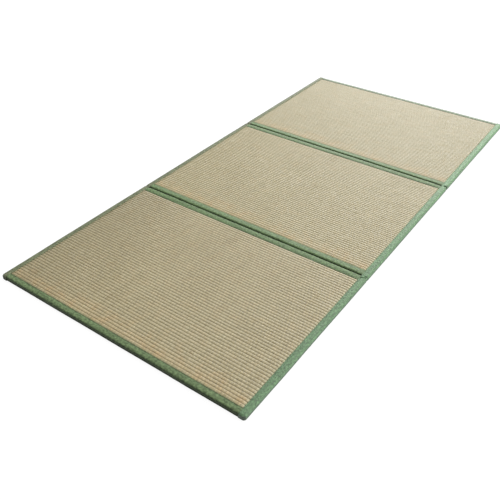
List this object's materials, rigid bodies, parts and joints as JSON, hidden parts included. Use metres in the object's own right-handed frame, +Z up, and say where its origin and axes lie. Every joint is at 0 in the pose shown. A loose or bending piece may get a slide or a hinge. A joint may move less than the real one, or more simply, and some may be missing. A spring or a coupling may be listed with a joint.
{
  "type": "tatami mat",
  "caption": "Folding rush tatami mat with equal panels lying flat, bound in green cloth tape along its edges and folds.",
  "frame": {"origin": "centre of the mat's outline, on the surface it lies on", "axes": "+X across the mat, +Y along it from the front end to the back end, +Z up out of the rush face"},
  "size_m": [1, 2.1, 0.02],
  "materials": {
    "rush": "woven dry rush, matt",
    "green_tape": "plain woven cotton tape, matt"
  },
  "bodies": {
    "root": {"rush_panel_front": "rush", "rush_panel_middle": "rush", "rush_panel_back": "rush", "front_tape": "green_tape", "back_tape": "green_tape", "hinge_tape_front": "green_tape", "hinge_tape_back": "green_tape", "left_tape": "green_tape", "right_tape": "green_tape"}
  },
  "joints": []
}
